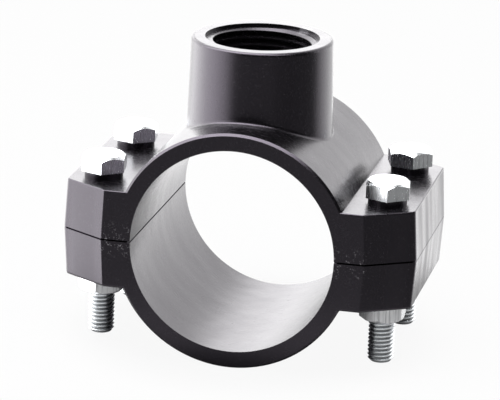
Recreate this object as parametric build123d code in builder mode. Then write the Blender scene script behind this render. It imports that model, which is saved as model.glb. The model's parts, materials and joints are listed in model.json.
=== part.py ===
"""Tapping saddle for a 63 mm plastic pipe with a 1 inch female outlet.

Two moulded halves close round the pipe.  The upper half carries the threaded
outlet and, round its port, a seal in a groove.  Four bolts pass through the
lugs of both halves into nuts that sit in hexagonal recesses under the strap.

Frame: origin on the pipe's axis, midway along the saddle.  +Y runs along the
pipe, +Z up the outlet, +X across the lugs.  Millimetres.
"""
import os
from math import radians, tan

from build123d import *

# --- the pipe and the ring that holds it --------------------------------
pipe_diameter = 63.0
ring_wall = 5.3
saddle_length = 68.0
ring_edge_chamfer = 0.7

# --- lugs: a block each side of the ring, with its corners cut back -----
upper_lug_height = 15.6
lower_lug_height = 15.1
lug_reach = 54.9  # from the pipe's axis to a lug's end face
lug_cut_back = 9.0  # length that each cut-back corner takes off an end face
lug_flat_reach = 40.6  # where the flat front face turns back
lug_end_draft = 3.5  # degrees
lug_corner_draft = 1.5  # degrees, on the four cut-back faces
lug_end_radius = 1.6  # upright edges of an end face
lug_bend_radius = 0.6  # upright edges where the front face turns
lug_top_radius = 0.4
lug_foot_radius = 0.9  # the strap's lower edges
parting_chamfer = 0.25

# --- outlet -------------------------------------------------------------
outlet_height = 58.8  # from the pipe's axis to the rim
outlet_rim_radius = 21.7
outlet_draft = 1.7  # degrees
outlet_rim_fillet = 1.1
outlet_foot_fillet = 1.2
mouth_diameter = 35.1
mouth_depth = 1.15
thread_major_diameter = 33.25
thread_length = 20.0
port_diameter = 26.0

# --- seal round the port ------------------------------------------------
seal_inner_diameter = 30.4
seal_outer_diameter = 40.4
seal_thickness = 2.9
seal_clearance = 0.1  # to every wall of its groove

# --- bolts and nuts -----------------------------------------------------
bolt_diameter = 8.0
bolt_length = 52.2  # under the head
bolt_spacing_x = 88.4
bolt_end_distance = 15.4  # from a bolt's axis to the saddle's nearer end
bolt_hole_clearance = 0.5  # radial
bolt_end_chamfer = 0.9
hex_across_flats = 13.0
head_height = 5.0
nut_height = 6.8
nut_bore_clearance = 0.05  # radial
nut_recess_depth = 1.0
nut_recess_clearance = 0.15
crown_angle = 38.0  # degrees, the cone turned on a hexagon's corners
crown_inset = 0.6  # the cone starts this far inside the flats
pad_diameter = 11.8
pad_height = 2.2
pad_edge_radius = 0.4

# --- worked out from the above ------------------------------------------
pipe_radius = pipe_diameter / 2
ring_radius = pipe_radius + ring_wall
groove_radius = pipe_radius + seal_thickness + seal_clearance
head_seat = upper_lug_height + pad_height
nut_seat = nut_recess_depth - lower_lug_height
bolt_hole_radius = bolt_diameter / 2 + bolt_hole_clearance
bolt_spacing_y = saddle_length - 2 * bolt_end_distance

# name of each bolt's place: its x, y and how far its head has been turned
bolt_places = {
    "front_left": (-bolt_spacing_x / 2, -bolt_spacing_y / 2, 39.0),
    "front_right": (bolt_spacing_x / 2, -bolt_spacing_y / 2, 39.0),
    "rear_left": (-bolt_spacing_x / 2, bolt_spacing_y / 2, 38.0),
    "rear_right": (bolt_spacing_x / 2, bolt_spacing_y / 2, 47.0),
}
nut_turn = 30.0  # two corners of every nut point along the pipe

os.makedirs("parts", exist_ok=True)


def save(piece, name):
    """Label a finished piece and write it under the same name."""
    piece.part.label = name
    export_step(piece.part, f"parts/{name}.step")


def half_ring(kept):
    """Half of a solid drum of the ring's outer size, its end edges chamfered."""
    with BuildPart() as drum:
        with BuildSketch(Plane.XZ):
            Circle(ring_radius)
        extrude(amount=saddle_length / 2, both=True)
        chamfer(drum.edges().filter_by(GeomType.CIRCLE), ring_edge_chamfer)
        split(bisect_by=Plane.XY, keep=kept)
    return drum.part


def upright_edges(block):
    """The edges that lean from the vertical only by a draft, nearest the pipe first."""
    uprights = block.edges().filter_by(lambda edge: abs(edge.tangent_at(0.5).Z) > 0.9)
    return uprights.sort_by(lambda edge: abs(edge.center().X))


def lug_block(height, outer_radius):
    """Both lugs as one block standing on the parting plane, drafted and rounded."""
    half_length = saddle_length / 2
    half_end = half_length - lug_cut_back
    with BuildPart() as block:
        with BuildSketch():
            with BuildLine():
                Polyline(
                    (lug_flat_reach, half_length),
                    (lug_reach, half_end),
                    (lug_reach, -half_end),
                    (lug_flat_reach, -half_length),
                )
                mirror(about=Plane.YZ)
                Line((lug_flat_reach, half_length), (-lug_flat_reach, half_length))
                Line((lug_flat_reach, -half_length), (-lug_flat_reach, -half_length))
            make_face()
        extrude(amount=height)

        cut_back = block.faces().filter_by(lambda face: 0.1 < abs(face.normal_at().X) < 0.9)
        draft(cut_back, Plane.XY, lug_corner_draft)
        draft(block.faces().filter_by(Axis.X), Plane.XY, lug_end_draft)

        fillet(upright_edges(block)[-4:], lug_end_radius)
        fillet(upright_edges(block)[:4], lug_bend_radius)
        fillet(block.faces().sort_by(Axis.Z)[-1].edges(), outer_radius)
    return block.part


def saddle_ring(outer_diameter, inner_diameter, outer_radius):
    """A flat ring bent to the pipe: an upright tube cut off between two drums."""
    with BuildPart() as ring:
        with BuildSketch():
            Circle(outer_diameter / 2)
            Circle(inner_diameter / 2, mode=Mode.SUBTRACT)
        extrude(amount=outer_radius)
        with BuildSketch(Plane.XZ):
            Circle(outer_radius)
        extrude(amount=saddle_length / 2, both=True, mode=Mode.INTERSECT)
        with BuildSketch(Plane.XZ):
            Circle(pipe_radius)
        extrude(amount=saddle_length / 2, both=True, mode=Mode.SUBTRACT)
    return ring.part


def hexagon(x, y, turn, low, high, crown_low):
    """A hexagonal blank with its corners crowned on top and, if asked, below."""
    crown_radius = hex_across_flats / 2 - crown_inset
    corner_radius = hex_across_flats / 3**0.5
    drop = (corner_radius - crown_radius) * tan(radians(crown_angle))
    outline = [(0, high), (crown_radius, high), (corner_radius, high - drop)]
    if crown_low:
        outline += [(corner_radius, low + drop), (crown_radius, low), (0, low)]
    else:
        outline += [(corner_radius, low), (0, low)]
    with BuildPart() as blank:
        with BuildSketch(Plane((x, y, low))):
            RegularPolygon(hex_across_flats / 2, 6, major_radius=False, rotation=turn)
        extrude(amount=high - low)
        with BuildSketch(Plane((x, y, 0), x_dir=(1, 0, 0), z_dir=(0, -1, 0))):
            with BuildLine():
                Polyline(*outline, close=True)
            make_face()
        revolve(axis=Axis((x, y, 0), (0, 0, 1)), mode=Mode.INTERSECT)
    return blank.part


# --- upper half: ring, lugs, outlet, port, seal groove and bolt pads ----
foot_radius = outlet_rim_radius + outlet_height * tan(radians(outlet_draft))
with BuildPart() as saddle_body:
    add(half_ring(Keep.TOP))
    add(lug_block(upper_lug_height, lug_top_radius))

    with Locations((0, 0, outlet_height / 2)):
        Cone(foot_radius, outlet_rim_radius, outlet_height)
    above_lugs = saddle_body.edges().filter_by(lambda edge: edge.center().Z > upper_lug_height)
    fillet(above_lugs.filter_by(GeomType.BSPLINE), outlet_foot_fillet)
    fillet(saddle_body.faces().sort_by(Axis.Z)[-1].edges(), outlet_rim_fillet)

    with BuildSketch(Plane.XY.offset(upper_lug_height)):
        with GridLocations(bolt_spacing_x, bolt_spacing_y, 2, 2):
            Circle(pad_diameter / 2)
    extrude(amount=pad_height)
    pad_tops = saddle_body.faces(Select.LAST).sort_by(Axis.Z)[-4:]
    fillet(pad_tops.edges(), pad_edge_radius)

    with BuildSketch(Plane.XZ):
        Circle(pipe_radius)
    extrude(amount=saddle_length, both=True, mode=Mode.SUBTRACT)
    parting_faces = saddle_body.faces().group_by(Axis.Z)[0]
    chamfer(parting_faces.edges(), parting_chamfer)
    with Locations((0, 0, outlet_height)):
        CounterBoreHole(
            thread_major_diameter / 2,
            mouth_diameter / 2,
            mouth_depth,
            mouth_depth + thread_length,
        )
        Hole(port_diameter / 2, outlet_height)
    add(
        saddle_ring(
            seal_outer_diameter + 2 * seal_clearance,
            seal_inner_diameter - 2 * seal_clearance,
            groove_radius,
        ),
        mode=Mode.SUBTRACT,
    )
    with Locations((0, 0, head_seat)):
        with GridLocations(bolt_spacing_x, bolt_spacing_y, 2, 2):
            Hole(bolt_hole_radius, head_seat)
save(saddle_body, "saddle_body")

# --- lower half: the strap, with a recess for each nut -------------------
with BuildPart() as clamp_strap:
    add(half_ring(Keep.BOTTOM))
    mirror(lug_block(lower_lug_height, lug_foot_radius), about=Plane.XY)
    with BuildSketch(Plane.XZ):
        Circle(pipe_radius)
    extrude(amount=saddle_length, both=True, mode=Mode.SUBTRACT)
    parting_faces = clamp_strap.faces().group_by(Axis.Z)[-1]
    chamfer(parting_faces.edges(), parting_chamfer)
    with GridLocations(bolt_spacing_x, bolt_spacing_y, 2, 2):
        Hole(bolt_hole_radius, lower_lug_height)
    with BuildSketch(Plane.XY.offset(-lower_lug_height)):
        with GridLocations(bolt_spacing_x, bolt_spacing_y, 2, 2):
            RegularPolygon(
                hex_across_flats / 2 + nut_recess_clearance,
                6,
                major_radius=False,
                rotation=nut_turn,
            )
    extrude(amount=nut_recess_depth, mode=Mode.SUBTRACT)
save(clamp_strap, "clamp_strap")

# --- seal ----------------------------------------------------------------
with BuildPart() as seal_ring:
    add(saddle_ring(seal_outer_diameter, seal_inner_diameter, pipe_radius + seal_thickness))
save(seal_ring, "seal_ring")

# --- one bolt and one nut at each corner ----------------------------------
for place, (x, y, head_turn) in bolt_places.items():
    with BuildPart() as bolt:
        add(hexagon(x, y, head_turn, head_seat, head_seat + head_height, crown_low=False))
        with BuildSketch(Plane((x, y, head_seat - bolt_length))):
            Circle(bolt_diameter / 2)
        extrude(amount=bolt_length)
        chamfer(bolt.faces().sort_by(Axis.Z)[0].edges(), bolt_end_chamfer)
    save(bolt, f"bolt_{place}")

    with BuildPart() as nut:
        add(hexagon(x, y, nut_turn, nut_seat - nut_height, nut_seat, crown_low=True))
        with Locations((x, y, nut_seat)):
            Hole(bolt_diameter / 2 + nut_bore_clearance, nut_height)
    save(nut, f"nut_{place}")
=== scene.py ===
"""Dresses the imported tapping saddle: threaded bolts, the outlet's thread, finishes, light and camera.

Metres, in the saddle's own frame: +Y along the pipe, +Z up the outlet, +X across the lugs.
"""

import json
from math import cos, pi, radians, sin, tan

import bmesh
import bpy
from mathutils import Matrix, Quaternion, Vector


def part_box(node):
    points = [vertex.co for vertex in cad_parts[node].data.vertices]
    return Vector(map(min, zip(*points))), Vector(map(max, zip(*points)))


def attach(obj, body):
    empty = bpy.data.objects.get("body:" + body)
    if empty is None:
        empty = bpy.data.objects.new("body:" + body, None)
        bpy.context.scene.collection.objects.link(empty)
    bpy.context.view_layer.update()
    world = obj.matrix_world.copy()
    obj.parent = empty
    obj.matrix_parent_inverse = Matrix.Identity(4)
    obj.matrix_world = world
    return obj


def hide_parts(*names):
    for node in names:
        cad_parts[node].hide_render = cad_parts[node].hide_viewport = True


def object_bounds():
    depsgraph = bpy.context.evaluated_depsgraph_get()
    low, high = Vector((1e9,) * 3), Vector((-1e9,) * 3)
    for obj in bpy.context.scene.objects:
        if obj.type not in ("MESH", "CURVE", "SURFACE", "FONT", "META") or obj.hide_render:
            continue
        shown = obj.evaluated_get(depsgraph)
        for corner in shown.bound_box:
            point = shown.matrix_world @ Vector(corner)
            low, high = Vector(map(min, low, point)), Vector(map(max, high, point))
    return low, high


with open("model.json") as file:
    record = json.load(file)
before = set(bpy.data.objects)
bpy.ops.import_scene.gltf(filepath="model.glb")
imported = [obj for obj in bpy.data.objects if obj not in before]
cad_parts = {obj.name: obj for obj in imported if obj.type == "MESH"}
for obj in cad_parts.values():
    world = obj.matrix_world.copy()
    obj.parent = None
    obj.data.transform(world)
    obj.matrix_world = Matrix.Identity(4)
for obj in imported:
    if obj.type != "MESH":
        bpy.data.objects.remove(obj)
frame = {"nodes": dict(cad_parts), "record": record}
cad_box = [list(corner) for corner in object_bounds()]

MM = 0.001
scene = bpy.context.scene
mounts = {mount["name"]: mount for mount in frame["record"]["mounts"]}
hinges = {hinge["name"]: hinge for hinge in frame["record"]["behaviour"]["joints"]}

# --- sizes --------------------------------------------------------------------
bore_radius = mounts["pipe_bore"]["dims"]["r_mm"] * MM
lug_reach = 54.9 * MM
lug_bend = 41.0 * MM  # where a lug's flat front ends and its cut-back side begins
lug_side_height = 15.0 * MM  # the streaks on a lug's sides end here, just short of its rounded edge

bolt_pitch = 1.25 * MM
bolt_radius = 4.0 * MM
bolt_thread_depth = 0.68 * MM
bolt_root = bolt_radius - bolt_thread_depth
threaded_length = 26.0 * MM
bolt_tip_chamfer = 0.95 * MM

hex_flats = 13.0 * MM
hex_corner = hex_flats / 3**0.5  # from the axis to a corner
crown_inset = 0.6 * MM  # the cone on a head starts this far inside the flats
crown_angle = 38.0
hex_corner_bevel = 0.16 * MM
# how far each bolt's head has been turned, in degrees
head_turns = {"front_left": 39.0, "front_right": 39.0, "rear_left": 38.0, "rear_right": 47.0}

outlet_pitch = 2.309 * MM  # 11 turns to the inch
outlet_thread_depth = 1.48 * MM
outlet_flank_angle = 27.5
outlet_land = 0.17 * MM  # half the width of a flattened crest
outlet_turns = 10.25
first_crest_depth = 22.2 * MM  # of the helix's start, below the top of the threaded wall


# --- finishes -----------------------------------------------------------------
class Wire:
    """A socket inside a finish; arithmetic on wires adds Math nodes."""

    def __init__(self, finish, socket):
        self.finish = finish
        self.socket = socket

    def __add__(self, other):
        return self.finish.calculate("ADD", self, other)

    def __radd__(self, other):
        return self.finish.calculate("ADD", other, self)

    def __sub__(self, other):
        return self.finish.calculate("SUBTRACT", self, other)

    def __rsub__(self, other):
        return self.finish.calculate("SUBTRACT", other, self)

    def __mul__(self, other):
        return self.finish.calculate("MULTIPLY", self, other)

    def __rmul__(self, other):
        return self.finish.calculate("MULTIPLY", other, self)

    def __truediv__(self, other):
        return self.finish.calculate("DIVIDE", self, other)

    def __rtruediv__(self, other):
        return self.finish.calculate("DIVIDE", other, self)

    def other(self, output):
        """Another output of the same node."""
        return Wire(self.finish, self.socket.node.outputs[output])


class Finish:
    """The nodes of a material or of the world, put together one by one."""

    def __init__(self, owner):
        owner.use_nodes = True
        self.owner = owner
        self.tree = owner.node_tree
        self.tree.nodes.clear()

    def node(self, kind, settings=None, inputs=None, output=0):
        """Adds one node: its settings first, then the values or wires of its sockets."""
        made = self.tree.nodes.new("ShaderNode" + kind)
        for key, value in (settings or {}).items():
            setattr(made, key, value)
        for key, value in (inputs or {}).items():
            if isinstance(value, Wire):
                self.tree.links.new(value.socket, made.inputs[key])
            else:
                made.inputs[key].default_value = value
        return Wire(self, made.outputs[output]) if made.outputs else made

    def calculate(self, operation, first, second):
        """A Math node on two numbers or wires."""
        return self.node("Math", {"operation": operation}, {0: first, 1: second})

    def greatest(self, first, *others):
        """The largest of several numbers or wires."""
        for other in others:
            first = self.calculate("MAXIMUM", first, other)
        return first

    def vector(self, operation, *values, output="Vector"):
        """A Vector Math node on points, directions or lengths."""
        return self.node("VectorMath", {"operation": operation}, dict(enumerate(values)), output)

    def place(self, scale=(1, 1, 1), turn=(0, 0, 0)):
        """The point on the object, in metres, stretched or turned if asked."""
        point = self.node("TexCoord", output="Object")
        return self.node("Mapping", {}, {"Vector": point, "Rotation": turn, "Scale": scale})

    def noise(self, point, scale, detail=2.0, roughness=0.5, distortion=0.0):
        """Cloudy noise, with as many patches to the metre as its scale says."""
        texture = {
            "Vector": point,
            "Scale": scale,
            "Detail": detail,
            "Roughness": roughness,
            "Distortion": distortion,
        }
        return self.node("TexNoise", {}, texture)

    def step(self, value, low, high, bottom=0.0, top=1.0):
        """Runs smoothly from bottom to top as the value goes from low to high."""
        ends = {"From Min": low, "From Max": high, "To Min": bottom, "To Max": top}
        return self.node("MapRange", {"interpolation_type": "SMOOTHSTEP"}, {"Value": value, **ends})

    def fade(self, value, low, high):
        """Runs smoothly from 1 down to 0 as the value goes from low to high."""
        return self.step(value, low, high, 1.0, 0.0)

    def blend(self, share, first, second):
        """Mixes two colours; a share of 0 is the first and of 1 the second."""
        return self.node("Mix", {"data_type": "RGBA"}, {0: share, 6: first, 7: second}, output=2)

    def bump(self, height, strength, distance, over=None):
        """Tilts the normal by a height, over another bump if one is given."""
        relief = {"Height": height, "Strength": strength, "Distance": distance}
        if over is not None:
            relief["Normal"] = over
        return self.node("Bump", {}, relief)

    def principled(self, sockets):
        """Ends a material with a Principled surface and returns the material."""
        return self.surface(self.node("BsdfPrincipled", {}, sockets))

    def surface(self, shader):
        """Makes the shader the material's surface and returns the material."""
        self.node("OutputMaterial", {}, {"Surface": shader})
        return self.owner


def paint(red, green, blue):
    """An opaque colour."""
    return (red, green, blue, 1.0)


def grey(level):
    """An opaque neutral colour."""
    return paint(level, level, level)


def moulded_plastic():
    """Black polypropylene: a fine skin, rubbed marks and pale stress flecks by the parting line."""
    darkest = paint(0.0038, 0.0035, 0.0042)
    black = paint(0.0062, 0.0056, 0.0068)
    speck_colour = paint(0.08, 0.076, 0.084)
    fleck_colour = paint(0.38, 0.37, 0.39)
    pale_patch_colour = paint(0.45, 0.44, 0.47)
    mirrored_tint = paint(0.94, 0.84, 1.0)
    pale_patch_place = Vector((10.2, 14.6, 58.3)) * MM  # on the outlet's rim
    crossways = (0.4, 0.9, 0.3)

    skin = Finish(bpy.data.materials.new("moulded_plastic"))
    point = skin.place()
    grain = skin.noise(point, 1500.0, detail=4.0, roughness=0.7)
    cloud = skin.noise(point, 60.0, detail=3.0)
    rubs = skin.noise(skin.place((1, 7, 1), crossways), 260.0, detail=4.0, distortion=1.2)
    sinks = skin.noise(skin.place((1, 1, 0.12)), 90.0, detail=1.0)
    streaks = skin.noise(skin.place((1, 1, 0.06)), 110.0, detail=1.0)
    freckles = skin.noise(point, 1100.0, detail=3.0, roughness=0.8)

    # the saddle is alike on both sides, so distances from its middle planes say where a point is
    aside = skin.node("SeparateXYZ", {}, {0: skin.vector("ABSOLUTE", point)})
    from_parting = aside.other("Z")
    past_bend = skin.step(aside, lug_bend - 0.5 * MM, lug_bend + 0.5 * MM)
    before_bend = skin.fade(aside, lug_bend - 0.5 * MM, lug_bend + 0.5 * MM)
    in_lug = skin.fade(from_parting, lug_side_height - 0.2 * MM, lug_side_height + 0.2 * MM)
    in_bore = skin.fade(aside, bore_radius + 0.6 * MM, bore_radius + 1.0 * MM)
    on_end = skin.step(aside, lug_reach - 1.1 * MM, lug_reach - 0.4 * MM)
    by_seam = skin.fade(from_parting, 0.3 * MM, 7.0 * MM)

    bands = skin.step(streaks, 0.40, 0.64) * past_bend * in_lug
    flecks = skin.step(freckles, 0.59, 0.67) * by_seam * before_bend
    rubbed = skin.step(rubs, 0.56, 0.70)
    specks = skin.step(grain, 0.57, 0.66)
    # a pale patch painted on the outlet's rim, with a ragged edge
    from_pale_patch = skin.vector("DISTANCE", point, pale_patch_place, output="Value")
    pale_patch = skin.fade(from_pale_patch + 2.0 * MM * rubs, 2.2 * MM, 4.0 * MM)

    # the parting line: outside, a black slit of painted shade, made metallic so it mirrors nothing; a dull
    # line in the bore; closed on the end faces
    slit = skin.fade(from_parting, 0.22 * MM, 0.32 * MM)
    dull_seam = slit * in_bore
    painted_seam_shade = slit * (1.0 - in_bore) * (1.0 - on_end)

    colour = skin.blend(cloud, darkest, black)
    colour = skin.blend(0.20 * specks, colour, speck_colour)
    colour = skin.blend(0.6 * flecks, colour, fleck_colour)
    colour = skin.blend(0.5 * pale_patch, colour, pale_patch_colour)
    # painted shade: the parting slit outside the bore is painted black
    colour = skin.blend(painted_seam_shade, colour, grey(0.0))
    roughness = 0.22 + 0.05 * cloud + 0.05 * rubbed + 0.12 * bands + 0.5 * dull_seam
    relief = skin.bump(sinks, strength=1.0, distance=0.2 * MM)
    relief = skin.bump(grain + 0.5 * rubs, strength=0.28, distance=0.06 * MM, over=relief)
    sockets = {"Base Color": colour, "Metallic": painted_seam_shade, "Roughness": roughness, "Normal": relief}
    return skin.principled({**sockets, "Specular Tint": mirrored_tint})


def zinc_plating(name, dullness, darker, paler):
    """Zinc plating, drawn in upright streaks on the hexagons, with painted shade in the bottoms of the
    threads.
    """
    streak_colour = paint(0.38, 0.38, 0.40)
    groove_shade_colour = paint(0.10, 0.105, 0.11)
    bolt_x, bolt_y, head_seat = hinges["bolt_rear_right_turn"]["pos_m"]

    zinc = Finish(bpy.data.materials.new(name))
    point = zinc.place()
    cloud = zinc.noise(point, 320.0, detail=3.0)
    streaks = zinc.noise(zinc.place((1, 1, 0.06)), 1500.0, detail=3.0, roughness=0.6)

    # the four bolts stand alike about the middle, so one axis serves them all
    level = zinc.vector("MULTIPLY", zinc.vector("ABSOLUTE", point), (1.0, 1.0, 0.0))
    radius = zinc.vector("DISTANCE", level, (bolt_x, bolt_y, 0.0), output="Value")
    height = zinc.node("SeparateXYZ", {}, {0: point}, output="Z")
    in_groove = zinc.fade(radius, bolt_root + 0.25 * bolt_thread_depth, bolt_root + 0.8 * bolt_thread_depth)
    outside = zinc.step(radius, bolt_root - 0.3 * bolt_thread_depth, bolt_root - 0.1 * bolt_thread_depth)
    under_head = zinc.fade(height, head_seat - 0.8 * MM, head_seat - 0.2 * MM)

    # painted shade: the bottoms of the threads are painted dark
    groove_shade = in_groove * outside * under_head
    drawn = zinc.step(streaks, 0.50, 0.64) * zinc.step(radius, 1.2 * bolt_radius, 1.4 * bolt_radius)
    colour = zinc.blend(cloud, darker, paler)
    colour = zinc.blend(0.5 * drawn, colour, streak_colour)
    colour = zinc.blend(0.6 * groove_shade, colour, groove_shade_colour)
    roughness = dullness + 0.10 * cloud + 0.06 * drawn + 0.2 * groove_shade
    relief = zinc.bump(drawn + 0.5 * cloud, strength=0.10, distance=0.03 * MM)
    sockets = {"Base Color": colour, "Metallic": 1.0, "Roughness": roughness, "Normal": relief}
    return zinc.principled(sockets)


def seal_rubber():
    """Smooth black rubber with a little dust."""
    rubber = Finish(bpy.data.materials.new("seal_rubber"))
    cloud = rubber.noise(rubber.place(), 300.0, detail=3.0)
    colour = rubber.blend(cloud, grey(0.010), paint(0.030, 0.029, 0.028))
    relief = rubber.bump(cloud, strength=0.3, distance=0.05 * MM)
    return rubber.principled({"Base Color": colour, "Roughness": 0.55 + 0.2 * cloud, "Normal": relief})


# --- making pieces ------------------------------------------------------------
def weld(mesh, distance):
    """Merges points that lie within a distance of each other."""
    bmesh.ops.remove_doubles(mesh, verts=mesh.verts, dist=distance)


def finished(mesh, name, material):
    """Turns a bmesh into an object with its normals out and its finish on."""
    weld(mesh, 0.002 * MM)
    bmesh.ops.recalc_face_normals(mesh, faces=mesh.faces)
    data = bpy.data.meshes.new(name)
    mesh.to_mesh(data)
    mesh.free()
    data.materials.append(material)
    piece = bpy.data.objects.new(name, data)
    scene.collection.objects.link(piece)
    return piece


def cut_off(mesh, point, normal):
    """Cuts away what lies past a plane and closes the cut."""
    whole = mesh.verts[:] + mesh.edges[:] + mesh.faces[:]
    cut = bmesh.ops.bisect_plane(
        mesh, geom=whole, dist=0.0001 * MM, plane_co=point, plane_no=normal, clear_outer=True
    )
    rim = [part for part in cut["geom_cut"] if isinstance(part, bmesh.types.BMEdge)]
    bmesh.ops.edgeloop_fill(mesh, edges=rim)


def chain(mesh, profile):
    """A run of edges through (radius, height) pairs, ready to be spun about the upright axis."""
    verts = [mesh.verts.new((radius, 0.0, height)) for radius, height in profile]
    edges = [mesh.edges.new(pair) for pair in zip(verts, verts[1:])]
    return {"geom": verts + edges, "cent": (0, 0, 0), "axis": (0, 0, 1)}


def turned(mesh, profile, steps):
    """Spins a profile one full turn."""
    bmesh.ops.spin(mesh, **chain(mesh, profile), angle=2 * pi, steps=steps, use_merge=True)
    weld(mesh, 0.001 * MM)


def screwed(mesh, profile, pitch, turns, steps):
    """Spins a profile along a helix that rises one pitch a turn, with so many steps to each turn."""
    rise = (0, 0, pitch / steps)
    bmesh.ops.spin(
        mesh, **chain(mesh, profile), dvec=rise, angle=2 * pi * turns, steps=int(turns * steps)
    )


def raised(profile, height):
    """The same profile, moved up."""
    return [(radius, height + above) for radius, above in profile]


# --- bolts: crowned hexagon head, plain shank, rolled thread --------------------
def is_hexagon_corner(edge):
    """True for the upright edges where two sides of a hexagon meet."""
    along = (edge.verts[0].co - edge.verts[1].co).normalized()
    return abs(along.z) > 0.99 and edge.calc_face_angle(0) > radians(30)


def bolt_head(low, high, turn):
    """A drum with a coned top, its six sides sliced flat and their corners softened."""
    head = bmesh.new()
    crown = hex_flats / 2 - crown_inset
    shoulder = high - (hex_corner - crown) * tan(radians(crown_angle))
    drum = [(0, low), (hex_corner, low), (hex_corner, shoulder), (crown, high), (0, high)]
    turned(head, drum, steps=96)
    for side in range(6):
        angle = radians(turn + 30 + 60 * side)
        outward = Vector((cos(angle), sin(angle), 0))
        cut_off(head, outward * hex_flats / 2, outward)
    weld(head, 0.01 * MM)
    corners = [edge for edge in head.edges if is_hexagon_corner(edge)]
    bmesh.ops.bevel(
        head, geom=corners, offset=hex_corner_bevel, segments=2, affect="EDGES", profile=0.5, material=-1
    )
    return head


def bolt_shank(low, high):
    """A rolled thread up to a plain shank, its tip coned off."""
    shank = bmesh.new()
    crest = 0.16 * bolt_pitch
    groove = 0.14 * bolt_pitch
    crest_middle = (bolt_pitch + groove) / 2
    tooth = [
        (bolt_root, 0),
        (bolt_root, groove),
        (bolt_radius, crest_middle - crest / 2),
        (bolt_radius, crest_middle + crest / 2),
        (bolt_root, bolt_pitch),
    ]
    # the helix runs past both ends, and is then cut off level
    turns = int(threaded_length / bolt_pitch + 3)
    screwed(shank, raised(tooth, low - 1.5 * bolt_pitch), bolt_pitch, turns, steps=40)
    weld(shank, 0.004 * MM)
    top = low + threaded_length
    cut_off(shank, (0, 0, low), (0, 0, -1))
    cut_off(shank, (0, 0, top), (0, 0, 1))

    for vert in shank.verts:
        reach = vert.co.xy.length
        allowed = bolt_radius - bolt_tip_chamfer + (vert.co.z - low)
        if reach > allowed:
            vert.co.xy *= allowed / reach

    runout = top + bolt_thread_depth
    plain = [(0, top), (bolt_root, top), (bolt_radius, runout), (bolt_radius, high), (0, high)]
    turned(shank, plain, steps=48)
    return shank


def add_bolt(place, material):
    """Stands a threaded bolt in for the plain one at its corner of the saddle."""
    name = "bolt_" + place
    low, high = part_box(name)
    x, y, head_seat = hinges[name + "_turn"]["pos_m"]
    whole = bmesh.new()
    for part in (bolt_head(head_seat, high[2], head_turns[place]), bolt_shank(low[2], head_seat)):
        loose = bpy.data.meshes.new("loose")
        part.to_mesh(loose)
        part.free()
        whole.from_mesh(loose)
        bpy.data.meshes.remove(loose)
    bmesh.ops.translate(whole, verts=whole.verts, vec=(x, y, 0))
    piece = finished(whole, name + "_threaded", material)
    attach(piece, name)
    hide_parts(name)


# --- the outlet's female thread -------------------------------------------------
def add_outlet_thread(material):
    """One helical ridge standing on the outlet's wall, cut off level at both ends."""
    outlet = mounts["outlet_thread"]
    root = outlet["dims"]["r_mm"] * MM + 0.05 * MM  # a little inside the wall that carries it
    tip = root - outlet_thread_depth
    half_length = outlet["dims"]["length_mm"] / 2 * MM
    top = outlet["pos_m"][2] + half_length
    bottom = outlet["pos_m"][2] - half_length
    end_gap = 0.02 * MM
    foot = outlet_land + outlet_thread_depth * tan(radians(outlet_flank_angle))
    tooth = [(root, -foot), (tip, -outlet_land), (tip, outlet_land), (root, foot), (root, -foot)]

    ridge = bmesh.new()
    screwed(ridge, raised(tooth, top - first_crest_depth), outlet_pitch, outlet_turns, steps=72)
    weld(ridge, 0.01 * MM)
    cut_off(ridge, (0, 0, top - end_gap), (0, 0, 1))
    cut_off(ridge, (0, 0, bottom + end_gap), (0, 0, -1))
    piece = finished(ridge, "outlet_thread", material)
    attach(piece, "saddle")


# --- floor, light and camera ------------------------------------------------------
def add_floor():
    """Matt white paper that shows the camera a faint shadow and, through it, the white room behind.

    Close round the saddle the paper is painted dark, a painted shadow, and far off shiny surfaces see
    through it to the room.
    """
    half_width = 3.0
    gap_below = 0.2 * MM
    see_through = 0.93

    ground = bmesh.new()
    bmesh.ops.create_grid(ground, x_segments=1, y_segments=1, size=half_width)
    bmesh.ops.translate(ground, verts=ground.verts, vec=(0, 0, cad_box[0][2] - gap_below))
    paper = Finish(bpy.data.materials.new("white_paper"))
    to_camera = paper.node("LightPath", output="Is Camera Ray")
    to_mirror = to_camera.other("Is Glossy Ray")
    reach = paper.vector("LENGTH", paper.place(), output="Value")
    in_open = paper.step(reach, 50.0 * MM, 75.0 * MM)
    far_off = paper.step(reach, 90.0 * MM, 120.0 * MM)
    # painted shadow: the paper is painted dark within a few centimetres of the saddle
    painted_shadow_colour = paper.blend(in_open, paint(0.20, 0.20, 0.21), grey(0.95))
    matt = paper.node("BsdfDiffuse", {}, {"Color": painted_shadow_colour})
    clear = paper.node("BsdfTransparent", {}, {"Color": grey(1.0)})
    sheet = paper.node("MixShader", {}, {0: see_through * to_camera, 1: matt, 2: clear})
    sheet = paper.node("MixShader", {}, {0: to_mirror * far_off, 1: sheet, 2: clear})
    floor = finished(ground, "floor", paper.surface(sheet))


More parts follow.
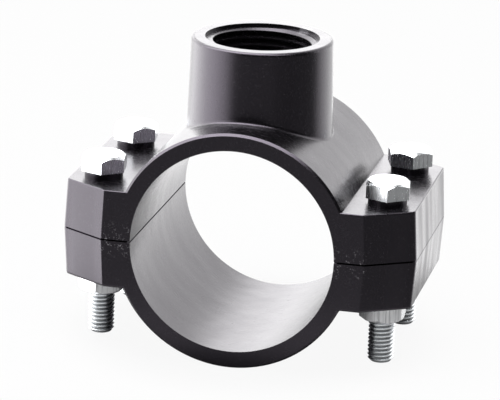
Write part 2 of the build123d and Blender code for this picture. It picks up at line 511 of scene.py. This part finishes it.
def add_studio():
    """The room: plain white to the camera, an even glow on matt surfaces, and a pattern for shiny ones.

    The pattern has white walls behind and to the left, a dim table below and lit strips overhead.
    """
    back_wall_level = 2.1
    back_wall_gain = 1.9  # more above the horizon, on the left
    left_wall_level = 5.4
    table_level = 0.46
    room_level = 0.04
    table_right_share = 0.60
    overhead_level = 9.0
    matt_level = 0.45

    world = bpy.data.worlds.new("studio")
    scene.world = world
    world.cycles.sampling_method = "NONE"
    air = Finish(world)
    right = air.node("SeparateXYZ", {}, {0: air.node("TexCoord", output="Generated")})
    left = -1.0 * right
    behind = right.other("Y")
    up = right.other("Z")
    down = -1.0 * up
    slope = behind / air.greatest(up, 0.05)

    high_left = air.step(up, -0.05, 0.22) * air.fade(right, -0.15, 0.15)
    back_wall = air.step(behind, 0.20, 0.62) * (back_wall_level + back_wall_gain * high_left)
    left_wall = air.step(left, 0.42, 0.95, 0.0, left_wall_level)
    table = air.step(down, 0.0, 0.22, room_level, table_level)
    table = table * air.step(right, 0.35, 0.80, 1.0, table_right_share)
    ahead = air.step(slope, -0.55, -0.42) * air.fade(slope, -0.20, -0.10) * air.fade(right, 0.45, 0.65)
    astern = air.step(slope, -0.20, -0.10) * air.fade(slope, 0.40, 0.50) * air.fade(right, -0.05, 0.20)
    overhead = (ahead + astern) * air.step(up, 0.3, 0.45) * overhead_level
    pattern = air.greatest(back_wall, left_wall, table, overhead)

    to_camera = air.node("LightPath", output="Is Camera Ray")
    to_mirror = to_camera.other("Is Glossy Ray")
    to_matt = (1.0 - to_camera) * (1.0 - to_mirror)
    level = to_camera + to_mirror * pattern + to_matt * matt_level
    light = air.node("Background", {}, {"Color": grey(1.0), "Strength": level})
    air.node("OutputWorld", {}, {"Surface": light})


def add_lamp(name, position, size, power):
    """A softbox that faces the saddle."""
    lamp = bpy.data.lights.new(name, "AREA")
    lamp.shape = "RECTANGLE"
    lamp.size, lamp.size_y = size
    lamp.energy = power
    holder = bpy.data.objects.new(name, lamp)
    scene.collection.objects.link(holder)
    holder.location = position
    holder.rotation_euler = (-Vector(position)).to_track_quat("-Z", "Y").to_euler()


def add_camera():
    """Looks down the pipe from a little to the right of it and above."""
    azimuth = radians(12.69)
    elevation = radians(16.79)
    roll = radians(1.83)
    distance = 944.3 * MM
    target = Vector((-2.3, 0.0, 6.5)) * MM
    back = Vector((sin(azimuth) * cos(elevation), -cos(azimuth) * cos(elevation), sin(elevation)))
    data = bpy.data.cameras.new("camera")
    data.lens = 219.25
    data.sensor_width = 36.0
    data.clip_end = 20.0
    holder = bpy.data.objects.new("camera", data)
    scene.collection.objects.link(holder)
    holder.location = target + back * distance
    upright = (-back).to_track_quat("-Z", "Y")
    holder.rotation_euler = (upright @ Quaternion((0, 0, 1), roll)).to_euler()
    scene.camera = holder


# --- dress the part -----------------------------------------------------------
plastic = moulded_plastic()
bolt_zinc = zinc_plating("bright_zinc", 0.20, paint(0.74, 0.76, 0.78), paint(0.90, 0.92, 0.94))
# the nuts wear the same zinc, rougher, and painted paler: a painted brightness that makes them look more
# brightly lit
nut_zinc_painted_paler = zinc_plating("satin_zinc", 0.42, paint(0.90, 0.91, 0.92), paint(0.97, 0.97, 0.98))
finish_of = {"saddle_body": plastic, "clamp_strap": plastic, "seal_ring": seal_rubber()}
finish_of.update({"nut_" + place: nut_zinc_painted_paler for place in head_turns})
for name, material in finish_of.items():
    materials = frame["nodes"][name].data.materials
    materials.clear()
    materials.append(material)
for place in head_turns:
    add_bolt(place, bolt_zinc)
add_outlet_thread(plastic)

add_floor()
add_studio()
add_lamp("top_softbox", position=(-0.15, -0.30, 1.0), size=(1.3, 0.9), power=8.0)
add_camera()
scene.view_settings.view_transform = "Standard"
